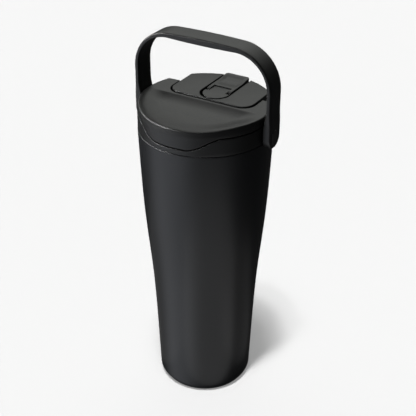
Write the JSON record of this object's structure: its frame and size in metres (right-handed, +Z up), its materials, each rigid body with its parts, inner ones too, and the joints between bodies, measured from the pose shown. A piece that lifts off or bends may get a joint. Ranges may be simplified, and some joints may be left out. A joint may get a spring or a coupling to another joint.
{
  "type": "insulated travel mug",
  "caption": "Tapered double-wall steel cup with a screw-in lid, a flip cap over the drinking spout and a swinging carry handle.",
  "frame": {"origin": "centre of the base, on the surface the mug stands on", "axes": "+Z up along the cup's axis, +X along the handle's pivot axis, -Y towards the scooped front of the lid, +Y towards the flip cap's free end"},
  "size_m": [0.1064, 0.0936, 0.2767],
  "materials": {
    "powder_coat": "matte black powder coat",
    "steel": "brushed stainless steel",
    "black_plastic": "matte black moulded plastic",
    "strap_plastic": "satin black moulded plastic",
    "silicone": "matte black silicone",
    "foam": "white foam"
  },
  "bodies": {
    "cup": {"outer_shell": "powder_coat", "inner_liner": "steel", "shell_base": "steel", "vacuum_getter": "steel", "foot_pad": "silicone"},
    "lid_seal": {"lid_gasket": "silicone"},
    "lid": {"lid_base": "black_plastic", "lid_cover": "black_plastic", "deck_panel": "black_plastic", "hinge_block": "black_plastic", "threaded_plug": "black_plastic", "lid_insulation": "foam", "spout_tube": "black_plastic", "hinge_pin": "steel", "pivot_screw_left": "steel", "pivot_screw_right": "steel", "pivot_washer_left": "strap_plastic", "pivot_washer_right": "strap_plastic"},
    "cap": {"flip_cap": "black_plastic", "cap_seal": "silicone"},
    "handle": {"handle_strap": "strap_plastic", "pivot_cap_left": "strap_plastic", "pivot_cap_right": "strap_plastic"}
  },
  "joints": [
    {"name": "lid_lift", "type": "slide", "parent": "cup", "child": "lid_seal", "axis": [0, 0, 1], "range_m": [0, 0.06]},
    {"name": "lid_turn", "type": "hinge", "parent": "lid_seal", "child": "lid", "pos_m": [0, 0, 0.2117], "axis": [0, 0, 1], "range_deg": [0, 450]},
    {"name": "cap_flip", "type": "hinge", "parent": "lid", "child": "cap", "pos_m": [0, 0.0195, 0.2284], "axis": [1, 0, 0], "range_deg": [0, 95]},
    {"name": "handle_swing", "type": "hinge", "parent": "lid", "child": "handle", "pos_m": [0, 0, 0.2164], "axis": [1, 0, 0], "range_deg": [-112, 112]}
  ]
}
